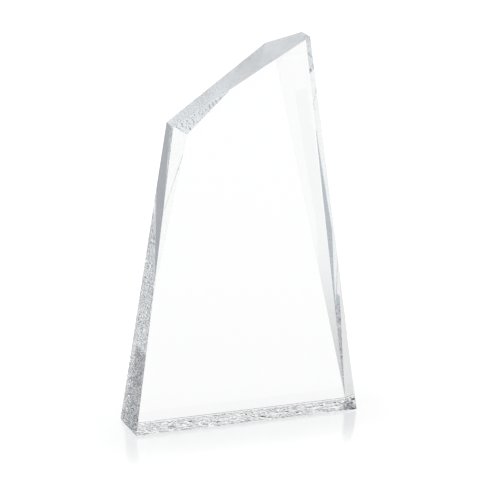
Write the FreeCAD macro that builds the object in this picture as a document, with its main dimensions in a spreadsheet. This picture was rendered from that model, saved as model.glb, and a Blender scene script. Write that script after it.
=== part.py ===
import FreeCAD, Part
import os
import Sketcher

# A free-standing crystal award: a polished slab with a slanted top and three long tapered bevels
# ground on its back, a thin rippled layer bonded under it, and four clear protective dots.
# Frame: +Z up, origin on the resting plane under the middle of the foot, polished front facing -Y,
# low shoulder at -X and peak at +X. Millimetres.

SIZES = [
    ("base_width", 114.3, "slab width at its foot"),
    ("thickness", 25.4, "slab thickness, front to back"),
    ("slab_height", 190.5, "foot of the slab to its peak"),
    ("shoulder_height", 152.0, "foot of the slab to its low shoulder"),
    ("shoulder_setback", 19.9, "how far the left wall leans in at the shoulder"),
    ("peak_setback", 26.0, "how far the right wall leans in at the peak"),
    ("shoulder_land", 10.3, "thickness left beside the front face at the shoulder"),
    ("peak_land", 10.8, "thickness left beside the front face at the peak"),
    ("facet_inset", 12.2, "inner corner of the left bevel, in from the shoulder"),
    ("facet_drop", 8.3, "inner corner of the left bevel, below the shoulder"),
    ("peak_bevel_width", 13.1, "width of the right bevel along the slanted top"),
    ("arris", 0.3, "polished arris round the front face and the layer"),
    ("layer_thickness", 1.0, "rippled layer bonded under the slab"),
    ("foot_thickness", 0.5, "protective dot"),
    ("foot_radius", 4.5, "protective dot"),
    ("foot_taper", 0.2, "moulded taper on the dot's rim"),
    ("foot_inset", 9.0, "dot centre in from the side of the foot"),
    ("foot_row_spacing", 9.6, "front row of dots to back row"),
]


def make_sheet(document):
    """The driving dimensions, one row each: alias, value, note."""
    sheet = document.addObject("Spreadsheet::Sheet", "sizes")
    for row, (alias, value, note) in enumerate(SIZES, start=1):
        sheet.set(f"A{row}", alias)
        sheet.set(f"B{row}", str(value))
        sheet.set(f"C{row}", note)
        sheet.setAlias(f"B{row}", alias)
    document.recompute()


# Heights of the slab's own levels above the resting plane, as expressions on the sheet.
FOOT_Z = "sizes.foot_thickness"
BOND_Z = "(sizes.foot_thickness + sizes.layer_thickness)"
SHOULDER_Z = "(sizes.foot_thickness + sizes.shoulder_height)"
PEAK_Z = "(sizes.foot_thickness + sizes.slab_height)"
BACK_Y = "sizes.thickness / 2"
EDGE_TOLERANCE = 0.001


def left_wall_x(height):
    """x of the leaning left wall at a height."""
    lean = "sizes.shoulder_setback / sizes.shoulder_height"
    return f"-sizes.base_width / 2 + ({height} - {FOOT_Z}) * {lean}"


def right_wall_x(height):
    """x of the leaning right wall at a height."""
    lean = "sizes.peak_setback / sizes.slab_height"
    return f"sizes.base_width / 2 - ({height} - {FOOT_Z}) * {lean}"


PEAK_X = right_wall_x(PEAK_Z)
SHOULDER_X = left_wall_x(SHOULDER_Z)
RIDGE_X = f"{PEAK_X} - sizes.peak_bevel_width"
TOP_SLOPE = f"({PEAK_Z} - {SHOULDER_Z}) / ({PEAK_X} - ({SHOULDER_X}))"
RIDGE_Z = f"{PEAK_Z} - sizes.peak_bevel_width * {TOP_SLOPE}"


def vertical_sketch(body, name, depth):
    """An empty sketch in the body's upright plane, facing the front, moved back to y = depth."""
    plane = next(item for item in body.Origin.OriginFeatures if item.Role == "XZ_Plane")
    sketch = body.newObject("Sketcher::SketchObject", name)
    sketch.AttachmentSupport = [(plane, "")]
    sketch.MapMode = "FlatFace"
    sketch.setExpression("AttachmentOffset.Base.z", f"-({depth})")
    return sketch


def pin_point(sketch, geometry, point, name, place):
    """Hold one point of the sketch at an (x, z) pair of expressions, measured from the origin."""
    origin = (-1, 1)
    for kind, axis, expression in (("DistanceX", "x", place[0]), ("DistanceY", "z", place[1])):
        value = sketch.evalExpression(expression)
        index = sketch.addConstraint(Sketcher.Constraint(kind, *origin, geometry, point, float(value)))
        sketch.renameConstraint(index, f"{name}_{axis}")
        sketch.setExpression(f"Constraints.{name}_{axis}", expression)


def polygon_sketch(body, name, depth, corners):
    """A closed polygon, its corners given as name: (x, z) expressions in order round the shape."""
    sketch = vertical_sketch(body, name, depth)
    places = [FreeCAD.Vector(float(sketch.evalExpression(x)), float(sketch.evalExpression(z)), 0)
              for x, z in corners.values()]
    count = len(places)
    for index in range(count):
        sketch.addGeometry(Part.LineSegment(places[index], places[(index + 1) % count]))
    for index in range(count):
        sketch.addConstraint(Sketcher.Constraint("Coincident", index, 2, (index + 1) % count, 1))
    for index, (corner, place) in enumerate(corners.items()):
        pin_point(sketch, index, 1, corner, place)
    return sketch


def apex_sketch(body, name, depth, place):
    """A single point, where the tapered cut of a bevel runs out."""
    sketch = vertical_sketch(body, name, depth)
    sketch.addGeometry(Part.Point(FreeCAD.Vector(*(float(sketch.evalExpression(e)) for e in place), 0)))
    pin_point(sketch, 0, 1, "apex", place)
    return sketch


def slab_pad(body, name, outline):
    """The outline carried through the slab's full thickness, half of it each side of y = 0."""
    pad = body.newObject("PartDesign::Pad", name)
    pad.Profile = outline
    pad.Midplane = True
    pad.setExpression("Length", "sizes.thickness")
    outline.Visibility = False
    return pad


def bevel_cut(body, name, back_corners, land, apex):
    """Grind a bevel away: a pyramid from its corners on the back face to one point on the wall."""
    base = polygon_sketch(body, f"{name}_on_back", BACK_Y, back_corners)
    tip = apex_sketch(body, f"{name}_on_wall", f"sizes.{land} - sizes.thickness / 2", apex)
    cut = body.newObject("PartDesign::SubtractiveLoft", name)
    cut.Profile = base
    cut.Sections = [(tip, [""])]
    cut.Ruled = True
    return cut


def polish_arrises(body, name, wanted):
    """A narrow 45 degree arris on the wanted edges of the body's solid."""
    solid = body.Tip
    edges = [f"Edge{number}" for number, edge in enumerate(solid.Shape.Edges, start=1)
             if wanted(edge.BoundBox)]
    chamfer = body.newObject("PartDesign::Chamfer", name)
    chamfer.Base = (solid, edges)
    chamfer.setExpression("Size", "sizes.arris")
    return chamfer


def make_crystal_block(document):
    """The slab itself: leaning walls, slanted top, and the tapered bevels on its back."""
    body = document.addObject("PartDesign::Body", "crystal_block")
    outline = polygon_sketch(body, "front_outline", "0", {
        "foot_left": (left_wall_x(BOND_Z), BOND_Z),
        "foot_right": (right_wall_x(BOND_Z), BOND_Z),
        "peak": (PEAK_X, PEAK_Z),
        "shoulder": (SHOULDER_X, SHOULDER_Z),
    })
    slab_pad(body, "slab", outline)
    document.recompute()
    bevel_cut(body, "shoulder_bevels", {
        "left_foot": (left_wall_x(BOND_Z), BOND_Z),
        "corner": (SHOULDER_X, SHOULDER_Z),
        "ridge_end": (RIDGE_X, RIDGE_Z),
        "facet_corner": (f"{SHOULDER_X} + sizes.facet_inset", f"{SHOULDER_Z} - sizes.facet_drop"),
    }, "shoulder_land", (SHOULDER_X, SHOULDER_Z))
    document.recompute()
    bevel_cut(body, "peak_bevel", {
        "right_foot": (right_wall_x(BOND_Z), BOND_Z),
        "corner": (PEAK_X, PEAK_Z),
        "ridge_end": (RIDGE_X, RIDGE_Z),
    }, "peak_land", (PEAK_X, PEAK_Z))
    document.recompute()
    front = -float(outline.evalExpression(BACK_Y)) + EDGE_TOLERANCE
    bond = float(outline.evalExpression(BOND_Z)) + EDGE_TOLERANCE
    polish_arrises(body, "front_arrises", lambda box: box.YMax < front and box.ZMax > bond)
    return body


def make_textured_layer(document):
    """The thin clear layer with the rippled underside, bonded flush under the slab."""
    body = document.addObject("PartDesign::Body", "textured_base_layer")
    outline = polygon_sketch(body, "layer_outline", "0", {
        "foot_left": (left_wall_x(FOOT_Z), FOOT_Z),
        "foot_right": (right_wall_x(FOOT_Z), FOOT_Z),
        "bond_right": (right_wall_x(BOND_Z), BOND_Z),
        "bond_left": (left_wall_x(BOND_Z), BOND_Z),
    })
    slab_pad(body, "layer", outline)
    document.recompute()
    bond = float(outline.evalExpression(BOND_Z)) - EDGE_TOLERANCE
    polish_arrises(body, "layer_arrises", lambda box: box.ZMin < bond)
    return body


def make_foot(document, name, side, row):
    """One clear dot: a thin disc, a little wider at the top where its adhesive face is."""
    foot = document.addObject("Part::Cone", name)
    foot.setExpression("Radius1", "sizes.foot_radius - sizes.foot_taper")
    foot.setExpression("Radius2", "sizes.foot_radius")
    foot.setExpression("Height", "sizes.foot_thickness")
    foot.setExpression("Placement.Base.x", f"{side} * (sizes.base_width / 2 - sizes.foot_inset)")
    foot.setExpression("Placement.Base.y", f"{row} * sizes.foot_row_spacing / 2")
    return foot


def write_steps(document, pieces):
    """Stop on anything that failed to compute, then write one STEP file for each piece."""
    for item in document.Objects:
        if {"Invalid", "Error"} & set(item.State):
            raise RuntimeError(f"{item.Name} did not compute: {item.State}")
    for piece in pieces:
        if piece.Shape.isNull() or not piece.Shape.isValid() or len(piece.Shape.Solids) != 1:
            raise RuntimeError(f"{piece.Label} is not one valid solid")
    os.makedirs("parts", exist_ok=True)
    for piece in pieces:
        piece.Shape.exportStep(os.path.join("parts", f"{piece.Label}.step"))
        box = piece.Shape.BoundBox
        print(f"{piece.Label}: {piece.Shape.Volume / 1000:.3f} cm3, {len(piece.Shape.Faces)} faces, "
              f"x {box.XMin:.2f}..{box.XMax:.2f} y {box.YMin:.2f}..{box.YMax:.2f} "
              f"z {box.ZMin:.2f}..{box.ZMax:.2f}")


award = FreeCAD.newDocument("crystal_award")
make_sheet(award)
award_pieces = [make_crystal_block(award), make_textured_layer(award)]
for row_name, row_sign in (("front", -1), ("back", 1)):
    for side_name, side_sign in (("left", -1), ("right", 1)):
        award_pieces.append(make_foot(award, f"foot_{row_name}_{side_name}", side_sign, row_sign))
award.recompute()
for award_piece in award_pieces:
    award_piece.Label = award_piece.Name
write_steps(award, award_pieces)
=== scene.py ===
import itertools
import math

import bpy
import numpy as np
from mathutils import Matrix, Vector


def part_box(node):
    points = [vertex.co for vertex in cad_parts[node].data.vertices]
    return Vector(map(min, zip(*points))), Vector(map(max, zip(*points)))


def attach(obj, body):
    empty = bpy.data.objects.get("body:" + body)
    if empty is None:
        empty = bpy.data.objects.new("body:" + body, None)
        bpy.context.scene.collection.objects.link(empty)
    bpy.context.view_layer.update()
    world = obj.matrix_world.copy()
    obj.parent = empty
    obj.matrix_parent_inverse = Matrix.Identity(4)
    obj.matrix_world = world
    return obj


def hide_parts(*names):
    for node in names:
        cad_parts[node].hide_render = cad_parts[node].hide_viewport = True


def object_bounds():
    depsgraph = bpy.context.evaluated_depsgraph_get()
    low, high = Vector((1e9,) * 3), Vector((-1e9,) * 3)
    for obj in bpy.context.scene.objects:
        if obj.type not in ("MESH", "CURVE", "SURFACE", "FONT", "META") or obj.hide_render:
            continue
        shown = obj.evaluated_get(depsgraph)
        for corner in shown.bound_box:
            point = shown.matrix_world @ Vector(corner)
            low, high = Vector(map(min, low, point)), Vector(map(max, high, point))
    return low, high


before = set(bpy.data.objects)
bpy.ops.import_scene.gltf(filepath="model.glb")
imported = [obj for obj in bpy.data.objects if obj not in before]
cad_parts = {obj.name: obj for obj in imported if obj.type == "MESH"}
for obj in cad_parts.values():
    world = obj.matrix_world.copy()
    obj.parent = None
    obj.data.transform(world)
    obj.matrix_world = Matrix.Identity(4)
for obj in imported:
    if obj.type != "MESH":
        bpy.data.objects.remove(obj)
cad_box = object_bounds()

MM = 0.001


# ---------------------------------------------------------------------------------------------------
# The stage: a white table lit from below, a studio round it, and the camera. The studio is white
# behind the award, pale overhead and dim elsewhere. Below the horizon it is pale, with grey bands and
# one small dark patch. The greys close round the award and the dark patch to its right are painted
# shade on the table. Light that has come through the crystal sees this studio, not the table.

class Value:
    """A socket of a node graph. Arithmetic on it adds Math nodes."""

    def __init__(self, graph, socket):
        self.graph, self.socket = graph, socket

    def math(self, operation, *others):
        """The Math node for an operation on this socket and the others."""
        inputs = dict(enumerate((self, *others)))
        return self.graph.node("ShaderNodeMath", {"operation": operation}, inputs)

    def __add__(self, other): return self.math("ADD", other)
    def __mul__(self, other): return self.math("MULTIPLY", other)
    def __sub__(self, other): return self.math("SUBTRACT", other)

    def __rsub__(self, other):
        return self.graph.node("ShaderNodeMath", {"operation": "SUBTRACT"}, {0: other, 1: self})

    def __pow__(self, other): return self.math("POWER", other)
    __radd__ = __add__
    __rmul__ = __mul__


class Graph:
    """The nodes of one material or world."""

    def __init__(self, owner):
        owner.use_nodes = True
        self.tree = owner.node_tree
        self.tree.nodes.clear()

    def node(self, kind, settings=None, inputs=None, output=0):
        """Add a node: its settings first, then a value or a link for each named or numbered input. Gives
        back the output asked for."""
        made = self.tree.nodes.new(kind)
        for name, value in (settings or {}).items():
            setattr(made, name, value)
        for name, value in (inputs or {}).items():
            if isinstance(value, Value):
                self.tree.links.new(value.socket, made.inputs[name])
            else:
                made.inputs[name].default_value = value
        return Value(self, made.outputs[output]) if len(made.outputs) else made

    def smooth(self, value, low, high):
        """0 below low, 1 above high, and a smooth step between them."""
        return self.node("ShaderNodeMapRange", {"interpolation_type": "SMOOTHSTEP"}, {
            "Value": value, "From Min": low, "From Max": high})


white_paper = (1.0, 1.0, 1.0, 1)
# painted shade on the table close behind the award
lower_paper_shade = (0.97, 0.97, 0.97, 1)
bright_side = (0.96, 0.965, 0.97, 1)
dull_side = (0.80, 0.81, 0.82, 1)
# painted shade on the table close behind the award, darker
paper_foot_shade = (0.60, 0.603, 0.61, 1)
paper_edge = (0.76, 0.762, 0.765, 1)
# painted shade on the table close round the award
near_floor_shade = (0.91, 0.91, 0.915, 1)
# painted shade: a dark patch on the table to the right of the award
right_shade_grey = (0.215, 0.235, 0.26, 1)
dark_room = (0.03, 0.035, 0.05, 1)
side_light = (0.42, 0.45, 0.49, 1)

# Headings round the horizon, from +X towards +Y: the middle of each, how far it reaches, and its fade.
heading_fade = math.radians(2.5)
backdrop_headings = math.radians(71.5), math.radians(35.5), heading_fade
right_shade_headings = math.radians(18), math.radians(18), heading_fade
paper_edge_headings = math.radians(108), math.radians(3), math.radians(0.5)

# Bands from low to high, as the upward part of a unit direction.
lower_paper_shade_fade = -0.36, -0.26
paper_foot_shade_fade = -0.465, -0.40
near_fade = -0.54, -0.50
near_floor_shade_fade = -0.68, -0.62
paper_edge_band = -0.50, -0.34
right_shade_band = -0.56, -0.34
backdrop_band = -1.1, 0.60
room_band = -0.03, 0.78
band_fade = 0.02

# Fades from left to right, as the sideways part of a unit direction.
dull_side_fade = -0.7, 0.7
side_light_fade = -0.85, -0.35

studio = bpy.data.worlds.new("studio")
bpy.context.scene.world = studio
graph = Graph(studio)
direction = graph.node("ShaderNodeTexCoord", output="Generated")
sideways = graph.node("ShaderNodeSeparateXYZ", None, {0: direction}, output="X")
upwards = graph.node("ShaderNodeSeparateXYZ", None, {0: direction}, output="Z")
level = graph.node("ShaderNodeVectorMath", {"operation": "MULTIPLY"}, {0: direction, 1: (1, 1, 0)})
heading = graph.node("ShaderNodeVectorMath", {"operation": "NORMALIZE"}, {0: level})


def towards(middle, reach, fade):
    """1 for the directions whose heading is within reach of the middle one, fading at both ends. The
    angle between two headings grows as the dot product of their unit vectors falls."""
    nearness = graph.node("ShaderNodeVectorMath", {"operation": "DOT_PRODUCT"}, {
        0: heading, 1: (math.cos(middle), math.sin(middle), 0)}, output="Value")
    return graph.smooth(nearness, math.cos(reach + fade), math.cos(reach - fade))


def between(low, high):
    """1 for the directions whose upward part is between low and high, fading at both ends."""
    above_low = graph.smooth(upwards, low - band_fade, low + band_fade)
    above_high = graph.smooth(upwards, high - band_fade, high + band_fade)
    return above_low * (1 - above_high)


def blend(factor, first, second):
    """The colour between two, by a factor."""
    return graph.node("ShaderNodeMix", {"data_type": "RGBA"}, {"Factor": factor, "A": first, "B": second},
                      output="Result")


on_backdrop = towards(*backdrop_headings)
# Lower down, the paper greys: painted shade on the table close behind the award.
paper = blend(graph.smooth(upwards, *lower_paper_shade_fade), lower_paper_shade, white_paper)
paper = blend(graph.smooth(upwards, *paper_foot_shade_fade), paper_foot_shade, paper)
sides = blend(graph.smooth(sideways, *dull_side_fade), bright_side, dull_side)
pale = blend(on_backdrop, sides, paper)
# Steeply down it greys a little: painted shade on the table close round the award.
near = blend(graph.smooth(upwards, *near_floor_shade_fade), near_floor_shade, white_paper)
pale = blend(graph.smooth(upwards, *near_fade), near, pale)
pale = blend(towards(*paper_edge_headings) * between(*paper_edge_band), pale, paper_edge)
# A small dark patch low to the right: painted shade on the table, seen through the crystal.
pale = blend(towards(*right_shade_headings) * between(*right_shade_band), pale, right_shade_grey)
room = blend(graph.smooth(sideways, *side_light_fade), side_light, dark_room)
in_backdrop = on_backdrop * between(*backdrop_band)
light = blend(between(*room_band) * (1 - in_backdrop), pale, room)
sky = graph.node("ShaderNodeBackground", None, {"Color": light, "Strength": 1.0})
graph.node("ShaderNodeOutputWorld", None, {"Surface": sky})


def stage_plate(name, outline, material):
    """A flat plate of the table, seen from above, from the corners of its outline in metres."""
    mesh = bpy.data.meshes.new(name)
    mesh.from_pydata([(*corner, 0.0) for corner in outline], [], [list(range(len(outline)))])
    mesh.materials.append(material)
    plate = bpy.data.objects.new(name, mesh)
    bpy.context.scene.collection.objects.link(plate)
    return plate


acrylic_white = (0.5, 0.5, 0.5, 1)
acrylic_index = 1.6
# the polished part glows less: painted soft shadow round the award
polished_shaded_finish = {"Roughness": 0.12, "Specular IOR Level": 0.5, "Emission Strength": 0.61}
matte_finish = {"Roughness": 0.9, "Specular IOR Level": 0.0, "Emission Strength": 0.90}
polish_fade = 0.010, 0.065
table_radius, table_sides = 6.0, 96


def lit_acrylic(graph, finish):
    """White acrylic, lit from below."""
    return graph.node("ShaderNodeBsdfPrincipled", None, {
        "Base Color": acrylic_white, "IOR": acrylic_index, "Emission Color": (1, 1, 1, 1), **finish})


# The acrylic is polished where the award stands and matte further out, so that its mirror image fades.
# Where it is polished it also glows less, which lets the mirror image show and paints a soft shadow
# round the award. The mix follows the distance in metres from the edge of the award's footprint.
white_table = bpy.data.materials.new("white_table")
graph = Graph(white_table)
place = graph.node("ShaderNodeTexCoord", output="Object")
outside = [(graph.node("ShaderNodeSeparateXYZ", None, {0: place}, output=axis).math("ABSOLUTE") - half)
           .math("MAXIMUM", 0.0) for axis, half in zip("XY", cad_box[1][:2])]
away = (outside[0] ** 2 + outside[1] ** 2) ** 0.5
surface = graph.node("ShaderNodeMixShader", None, {
    0: graph.smooth(away, *polish_fade), 1: lit_acrylic(graph, polished_shaded_finish),
    2: lit_acrylic(graph, matte_finish)})
graph.node("ShaderNodeOutputMaterial", None, {"Surface": surface})

angles = np.linspace(0, 2 * math.pi, table_sides, endpoint=False)
table_outline = np.stack([np.cos(angles), np.sin(angles)], 1) * table_radius
table = stage_plate("table", table_outline, white_table)
table.visible_transmission = False

# A plate under the award stands in for the shaded table there, brighter towards the right. Only light
# that has come through the crystal meets it.
plate_lift = 0.00001
under_tint = (0.95, 0.975, 1, 1)
under_glow = 0.675, 1.0
under_spread = 1.02


def only_through_crystal(plate):
    """Lift a plate just clear of the table, and hide it from all light but what the crystal transmits."""
    plate.location.z = plate_lift
    plate.visible_camera = plate.visible_diffuse = plate.visible_glossy = plate.visible_shadow = False


shaded = bpy.data.materials.new("shaded_table")
graph = Graph(shaded)
place = graph.node("ShaderNodeTexCoord", output="Object")
along = graph.node("ShaderNodeSeparateXYZ", None, {0: place}, output="X")
dim, bright = (graph.node("ShaderNodeEmission", None, {"Color": under_tint, "Strength": strength})
               for strength in under_glow)
glow = graph.node("ShaderNodeMixShader", None, {
    0: graph.smooth(along, cad_box[0][0], cad_box[1][0]), 1: dim, 2: bright})
graph.node("ShaderNodeOutputMaterial", None, {"Surface": glow})
footprint = np.array([(-1, -1), (1, -1), (1, 1), (-1, 1)]) * np.array(cad_box[1])[:2] * under_spread
only_through_crystal(stage_plate("table_under_award", footprint, shaded))

# A narrow grey strip of painted shadow, the award's shadow on the table, runs out from the award's front
# left corner. Only light that has come through the crystal meets it, and it draws the dark line inside
# the right edge.
painted_shadow_front = np.array([(0, 0), (-0.037, -0.0213), (-0.110, -0.0513)])
painted_shadow_width = 0.008
# the grey of the painted shadow
painted_shadow_colour = (0.48, 0.525, 0.565, 1)

painted_shadow_grey = bpy.data.materials.new("painted_shadow_grey")
graph = Graph(painted_shadow_grey)
painted_shadow_glow = graph.node("ShaderNodeEmission", None, {"Color": painted_shadow_colour, "Strength": 1.0})
graph.node("ShaderNodeOutputMaterial", None, {"Surface": painted_shadow_glow})
foot_corner = np.array([-cad_box[1][0], cad_box[0][1]])
painted_shadow_outline = foot_corner + np.concatenate([painted_shadow_front, painted_shadow_front[::-1] + (0, painted_shadow_width)])
only_through_crystal(stage_plate("painted_shadow_strip", painted_shadow_outline, painted_shadow_grey))

lens_length, sensor_width = 212.0, 36.0
light_bounces = 48
camera_data = bpy.data.cameras.new("camera")
camera_data.lens = lens_length
camera_data.sensor_width = sensor_width
camera = bpy.data.objects.new("camera", camera_data)
bpy.context.scene.collection.objects.link(camera)
camera_place = Vector((-0.4406, -1.2310, 0.4810))
camera_target = Vector((-0.00413, -0.0127, 0.09405))
camera.location = camera_place
camera.rotation_euler = (camera_target - camera_place).to_track_quat("-Z", "Y").to_euler()
bpy.context.scene.camera = camera
bpy.context.scene.view_settings.view_transform = "Standard"
for kind in ("max_bounces", "glossy_bounces", "transmission_bounces", "transparent_max_bounces"):
    setattr(bpy.context.scene.cycles, kind, light_bounces)


# ---------------------------------------------------------------------------------------------------
# The crystal block: one thick slab of optical crystal with leaning walls and a slanted top. Its back
# is ground away in three long tapered bevels, and every edge but those at the bond has a fine rounded
# arris. Polished all over, the top a little softer.

block_low, block_high = (np.array(corner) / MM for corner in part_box("crystal_block"))
foot_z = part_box("textured_base_layer")[0][2] / MM
bond_z, peak_z = block_low[2], block_high[2]
half_thickness = block_high[1]
half_base = 57.15
shoulder_height, shoulder_setback, peak_setback = 152.0, 19.9, 26.0
shoulder_x, shoulder_z = shoulder_setback - half_base, foot_z + shoulder_height
peak_x = half_base - peak_setback
shoulder_land = 10.3
peak_land = 10.8
facet_inset, facet_drop = 12.2, 8.3
peak_bevel_width = 13.1
arris_radius = 0.3
crystal_index = 1.517
depth_colour, depth_density = (0.88, 0.92, 0.93, 1), 1.6
smudge_scale, smudge_detail = 45.0, 4.0
smudge_span, least_smudge = (0.35, 0.75), 0.5
wave_detail = 1.0
soft_polish = 0.12
parallel, corner_slack, face_slack, corner_digits = 1e-9, 1e-6, 1e-4, 5


def wall_x(side, height):
    """x of the leaning wall on one side (-1 or 1) at a height: half the base, less the wall's setback in
    proportion to the height."""
    run, rise = (shoulder_setback, shoulder_height) if side < 0 else (peak_setback, peak_z - foot_z)
    return side * (half_base - (height - foot_z) * run / rise)


def plane_through(first, second, third, inner):
    """The plane through three points as (nx, ny, nz, distance), its unit normal pointing away from inner.
    The normal is the cross product of two sides, and the distance is its dot product with a corner."""
    normal = np.cross(second - first, third - first)
    normal /= np.linalg.norm(normal)
    if normal @ (inner - first) > 0:
        normal = -normal
    return np.append(normal, normal @ first)


def rounding_planes(first, second, radius, steps):
    """Planes that round the edge between two faces. Each leans between their normals and touches the
    cylinder of the given radius that lies against both faces. With the normal n = a n1 + b n2, the
    distance of the touching plane is a (d1 - radius) + b (d2 - radius) + radius."""
    angle = math.acos(np.clip(first[:3] @ second[:3], -1, 1))
    share = (np.arange(steps) + 0.5) / steps
    a = np.sin((1 - share) * angle) / math.sin(angle)
    b = np.sin(share * angle) / math.sin(angle)
    normals = a[:, None] * first[:3] + b[:, None] * second[:3]
    distances = a * (first[3] - radius) + b * (second[3] - radius) + radius
    return np.column_stack([normals, distances])


askew = np.array([0.31, 0.53, 0.79])  # a direction that no face is square to


def ground_solid(planes):
    """Corners and faces of the convex solid that is left when every plane has been ground flat.
    A corner is where three planes meet, solved for all threes at once, and kept if no plane cuts it off.
    A face is the corners on one plane, in order of angle round its normal."""
    trios = np.array(list(itertools.combinations(range(len(planes)), 3)))
    trios = trios[np.abs(np.linalg.det(planes[trios, :3])) > parallel]
    corners = np.linalg.solve(planes[trios, :3], planes[trios, 3:])[..., 0]
    corners = corners[(corners @ planes[:, :3].T <= planes[:, 3] + corner_slack).all(1)]
    corners = np.unique(corners.round(corner_digits), axis=0)
    faces = []
    for plane in planes:
        on_plane = np.flatnonzero(np.abs(corners @ plane[:3] - plane[3]) < face_slack)
        across = np.cross(plane[:3], askew)
        spokes = corners[on_plane] - corners[on_plane].mean(0)
        order = np.argsort(np.arctan2(spokes @ np.cross(plane[:3], across), spokes @ across))
        faces.append(on_plane[order])
    return corners, faces


def mesh_object(name, corners, faces, bond_faces, material, soft_faces=()):
    """A mesh object from corners in millimetres. Its face attribute bond is 1 on the bonded faces, and
    its face attribute soft is 1 on those with the softer polish."""
    mesh = bpy.data.meshes.new(name)
    mesh.from_pydata((np.asarray(corners) * MM).tolist(), [], [list(map(int, face)) for face in faces])
    for attribute, chosen in (("bond", bond_faces), ("soft", soft_faces)):
        values = np.isin(np.arange(len(mesh.polygons)), chosen).astype(np.float32)
        mesh.attributes.new(attribute, "FLOAT", "FACE").data.foreach_set("value", values)
    mesh.materials.append(material)
    piece = bpy.data.objects.new(name, mesh)
    bpy.context.scene.collection.objects.link(piece)
    return piece


def crystal(name, roughness, waviness, wave_size):
    """Clear crystal: a sharp glass with a breath of grey-blue in its depth, and a polish that is very
    slightly wavy and smudged. Its bonded faces are clear, so that two pieces are one glass to the light."""
    material = bpy.data.materials.new(name)
    graph = Graph(material)
    place = graph.node("ShaderNodeTexCoord", output="Object")
    smudge = graph.node("ShaderNodeTexNoise", None, {
        "Vector": place, "Scale": smudge_scale, "Detail": smudge_detail})
    wave = graph.node("ShaderNodeTexNoise", None, {
        "Vector": place, "Scale": 1 / wave_size, "Detail": wave_detail})
    normal = graph.node("ShaderNodeBump", None, {"Height": wave, "Strength": 1.0, "Distance": waviness})
    bond = graph.node("ShaderNodeAttribute", {"attribute_name": "bond"}, output="Fac")
    soft = graph.node("ShaderNodeAttribute", {"attribute_name": "soft"}, output="Fac")
    polish = roughness * (least_smudge + graph.smooth(smudge, *smudge_span)) + soft * soft_polish
    glass = graph.node("ShaderNodeBsdfPrincipled", None, {
        "Base Color": (1, 1, 1, 1), "IOR": crystal_index, "Transmission Weight": 1.0,
        "Roughness": polish, "Normal": normal, "Alpha": 1 - bond})
    depth = graph.node("ShaderNodeVolumeAbsorption", None, {
        "Color": depth_colour, "Density": depth_density})
    graph.node("ShaderNodeOutputMaterial", None, {"Surface": glass, "Volume": depth})
    return material


front_y, back_y = -half_thickness, half_thickness
top_slope = (peak_z - shoulder_z) / (peak_x - shoulder_x)
left_foot, right_foot = (np.array([wall_x(side, bond_z), back_y, bond_z]) for side in (-1, 1))
shoulder = np.array([shoulder_x, front_y + shoulder_land, shoulder_z])
peak = np.array([peak_x, front_y + peak_land, peak_z])
facet_corner = np.array([shoulder_x + facet_inset, back_y, shoulder_z - facet_drop])
ridge_end = np.array([peak_x - peak_bevel_width, back_y, peak_z - peak_bevel_width * top_slope])
inside = np.array([0, 0, peak_z / 2])
depthwise = np.array([0, 1, 0])

ground = {
    "front": np.array([0, -1, 0, -front_y]),
    "back": np.array([0, 1, 0, back_y]),
    "bond": np.array([0, 0, -1, -bond_z]),
    "left": plane_through(shoulder, shoulder + depthwise, left_foot, inside),
    "right": plane_through(peak, peak + depthwise, right_foot, inside),
    "top": plane_through(shoulder, shoulder + depthwise, peak, inside),
    "left_bevel": plane_through(left_foot, shoulder, facet_corner, inside),
    "top_bevel": plane_through(shoulder, facet_corner, ridge_end, inside),
    "right_bevel": plane_through(right_foot, peak, ridge_end, inside),
}
# The edges that get an arris, and in how many flats each is rounded.
arris_flats = {("front", "left"): 3, ("front", "top"): 3, ("front", "right"): 3, ("left", "top"): 2,
               ("top", "right"): 4, ("left", "left_bevel"): 2, ("left_bevel", "back"): 2,
               ("left_bevel", "top_bevel"): 1, ("top", "top_bevel"): 2, ("top_bevel", "back"): 2,
               ("back", "right_bevel"): 2, ("right_bevel", "right"): 2, ("right_bevel", "top"): 2}
arrises = [rounding_planes(ground[first], ground[second], arris_radius, steps)
           for (first, second), steps in arris_flats.items()]
corners, faces = ground_solid(np.vstack([*ground.values(), *arrises]))
polished = crystal("polished_crystal", roughness=0.012, waviness=0.000003, wave_size=0.02)
block = mesh_object("crystal_slab", corners, faces, [list(ground).index("bond")], polished,
                    [list(ground).index("top")])
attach(block, "root")
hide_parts("crystal_block")


# ---------------------------------------------------------------------------------------------------
# The textured base layer: a thin sheet of the same crystal, bonded flush under the slab. Its underside
# is hammered into shallow rounded ripples, which break up everything that is seen down through the slab.

mark_size = 2.8
mark_depth = 0.35
mark_lean = 1.0
mark_middle, mark_bowl, mark_floor = 0.65, 0.5, 0.05
crest_width = 0.4
mark_wander, wander_pitch = 0.8, 2.2
blow_count, blow_offset = 120, 40
swell_waves, swell_spread = 24, (0.7, 1.5)
ripple_margin = 0.3
wall_foot_height = 0.35
grid_step = 0.19
bond_gap = 0.005
merge_digits = 6


def swell(x, y, pitch, seed):
    """A smooth field from -1 to 1: plane waves of nearly one wavelength, each with a heading and a phase
    of its own, added together, and the sum pressed into the range by a hyperbolic tangent."""
    random = np.random.default_rng(seed)
    headings = random.uniform(0, 2 * math.pi, swell_waves)
    numbers = 2 * math.pi / (pitch * random.uniform(*swell_spread, swell_waves))
    phases = random.uniform(0, 2 * math.pi, swell_waves)
    total = sum(np.cos(number * (x * math.cos(angle) + y * math.sin(angle)) + phase)
                for number, angle, phase in zip(numbers, headings, phases))
    return np.tanh(total / math.sqrt(swell_waves))


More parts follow.
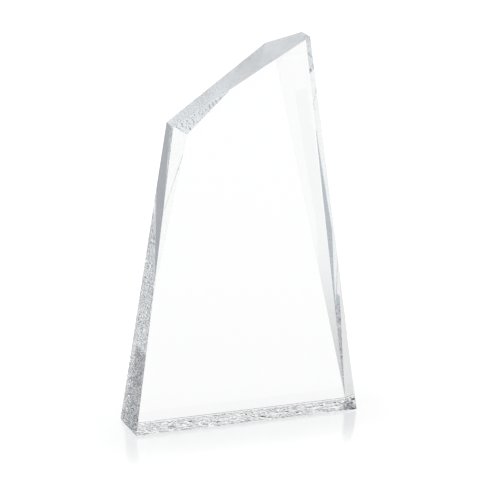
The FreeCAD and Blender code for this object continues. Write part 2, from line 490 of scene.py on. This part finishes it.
def hammered(x, y, size, seed):
    """The depth of hammer marks, 0 at the crests between them to about 1. Every point belongs to the
    nearest of a loose grid of blows, its rows bent by a smooth swell. A mark is a shallow bowl with a lean
    of its own, and it rises steeply to a crest where a second blow is nearly as near as the first."""
    random = np.random.default_rng(seed)
    u = (x + mark_wander * swell(x, y, wander_pitch * size, seed + 1)) / size + blow_offset
    v = (y + mark_wander * swell(x, y, wander_pitch * size, seed + 2)) / size + blow_offset
    blows = random.uniform(0, 1, (blow_count, blow_count, 2))
    leans = random.uniform(-mark_lean, mark_lean, (blow_count, blow_count, 2))
    cell_u, cell_v = np.floor(u).astype(int), np.floor(v).astype(int)
    nearest, second, lean = np.full(x.shape, np.inf), np.full(x.shape, np.inf), np.zeros(x.shape)
    for step_u, step_v in itertools.product((-1, 0, 1), repeat=2):
        blow = blows[cell_u + step_u, cell_v + step_v]
        tilt = leans[cell_u + step_u, cell_v + step_v]
        du, dv = u - (cell_u + step_u + blow[..., 0]), v - (cell_v + step_v + blow[..., 1])
        away = np.hypot(du, dv)
        lean = np.where(away < nearest, tilt[..., 0] * du + tilt[..., 1] * dv, lean)
        second = np.minimum(second, np.maximum(nearest, away))
        nearest = np.minimum(nearest, away)
    crest = np.clip((second - nearest) / crest_width, 0, 1)
    bowl = np.clip(mark_middle + lean - mark_bowl * nearest ** 2, mark_floor, 1)
    return bowl * crest * (2 - crest)


def lines_across(half, margin, step):
    """Grid lines from -half to half: two at each wall, then even steps inside the margin."""
    inside = np.linspace(-half + margin, half - margin, round(2 * (half - margin) / step))
    return np.concatenate([[-half, -half], inside, [half, half]])


def rippled_layer(half_x, half_y, top_half_x, low, top):
    """The layer as one grid over its footprint. The grid's outer ring is lifted to the bond and drawn in
    to the outline there, its second ring is the foot of the walls, and inside it the height is the foot
    plus the depth of the hammer marks. One flat face closes the bond. Points that coincide at the corners
    are merged, and the faces left without area there are dropped."""
    x, y = np.meshgrid(lines_across(half_x, ripple_margin, grid_step),
                       lines_across(half_y, ripple_margin, grid_step), indexing="ij")
    rows, columns = x.shape
    i, j = np.indices(x.shape)
    ring = np.minimum(np.minimum(i, rows - 1 - i), np.minimum(j, columns - 1 - j))
    z = low + mark_depth * hammered(x, y, mark_size, seed=7)
    z = np.where(ring == 1, low + wall_foot_height, np.where(ring == 0, top, z))
    x = np.where(ring == 0, np.clip(x, -top_half_x, top_half_x), x)
    points = np.stack([x, y, z], -1).reshape(-1, 3)
    index = np.arange(rows * columns).reshape(rows, columns)
    quads = np.stack([index[:-1, :-1], index[:-1, 1:], index[1:, 1:], index[1:, :-1]], -1).reshape(-1, 4)
    outline = np.concatenate([index[:-1, 0], index[-1, :-1], index[:0:-1, -1], index[0, :0:-1]])
    points, merged = np.unique(points.round(merge_digits), axis=0, return_inverse=True)
    quads, outline = merged.reshape(-1)[quads], merged.reshape(-1)[outline]
    quads = quads[(np.diff(np.sort(quads)) > 0).all(1)]
    return points, [*quads, outline[outline != np.roll(outline, 1)]]


wall_foot_x, bond_x = wall_x(1, foot_z + wall_foot_height), wall_x(1, bond_z)
corners, faces = rippled_layer(wall_foot_x, half_thickness, bond_x, foot_z, bond_z - bond_gap)
rippled = crystal("rippled_crystal", roughness=0.03, waviness=0.00001, wave_size=0.004)
layer = mesh_object("textured_layer", corners, faces, [len(faces) - 1], rippled)
layer.data.polygons.foreach_set("use_smooth", [len(face) == 4 for face in faces])
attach(layer, "root")
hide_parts("textured_base_layer")


# ---------------------------------------------------------------------------------------------------
# The feet: four thin clear polyurethane dots, stuck under the corners of the layer. Moulded with a
# domed rim, slightly satin, and soft enough to hold the award still on a polished table.

foot_segments = 48
rim_steps = 6
foot_rim = 0.2
foot_colour, foot_index, foot_clarity = (0.97, 0.975, 0.975, 1), 1.5, 0.9
foot_polish, foot_polish_range = 0.12, 0.16
grain_scale, grain_detail = 900.0, 3.0
grain_height, grain_strength = 0.00002, 0.4


def turned(profile, segments):
    """A profile of (radius, height) carried round the vertical axis: x = radius cos(angle), y = radius
    sin(angle). A flat face closes each end."""
    angle = np.linspace(0, 2 * math.pi, segments, endpoint=False)
    radius, height = np.asarray(profile).T
    rings = np.stack([np.outer(radius, np.cos(angle)), np.outer(radius, np.sin(angle)),
                      np.repeat(height[:, None], segments, 1)], -1).reshape(-1, 3)
    steps, around = np.meshgrid(np.arange(len(profile) - 1), np.arange(segments), indexing="ij")
    here, beside = steps * segments + around, steps * segments + (around + 1) % segments
    quads = np.stack([here, beside, beside + segments, here + segments], -1).reshape(-1, 4)
    ends = [np.arange(segments)[::-1], np.arange(segments) + (len(profile) - 1) * segments]
    return rings, [*quads, *ends]


soft_clear = bpy.data.materials.new("clear_polyurethane")
graph = Graph(soft_clear)
place = graph.node("ShaderNodeTexCoord", output="Object")
grain = graph.node("ShaderNodeTexNoise", None, {
    "Vector": place, "Scale": grain_scale, "Detail": grain_detail})
skin = graph.node("ShaderNodeBump", None, {
    "Height": grain, "Strength": grain_strength, "Distance": grain_height})
rubber = graph.node("ShaderNodeBsdfPrincipled", None, {
    "Base Color": foot_colour, "IOR": foot_index, "Transmission Weight": foot_clarity,
    "Roughness": foot_polish + grain * foot_polish_range, "Normal": skin})
graph.node("ShaderNodeOutputMaterial", None, {"Surface": rubber})

for node in sorted(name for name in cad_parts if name.startswith("foot_")):
    low, high = (np.array(corner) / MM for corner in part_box(node))
    radius, thickness = (high[0] - low[0]) / 2, high[2] - low[2]
    bend = np.linspace(0, math.pi / 2, rim_steps)
    profile = np.stack([radius - foot_rim * (1 - np.sin(bend)), foot_rim * (1 - np.cos(bend))], 1)
    corners, faces = turned(np.vstack([profile, [radius, thickness]]), foot_segments)
    corners = corners + [*(low[:2] + high[:2]) / 2, low[2]]
    foot = mesh_object(node.replace("foot", "dot"), corners, faces, [], soft_clear)
    foot.data.polygons.foreach_set("use_smooth", [len(face) == 4 for face in faces])
    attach(foot, "root")
    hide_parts(node)
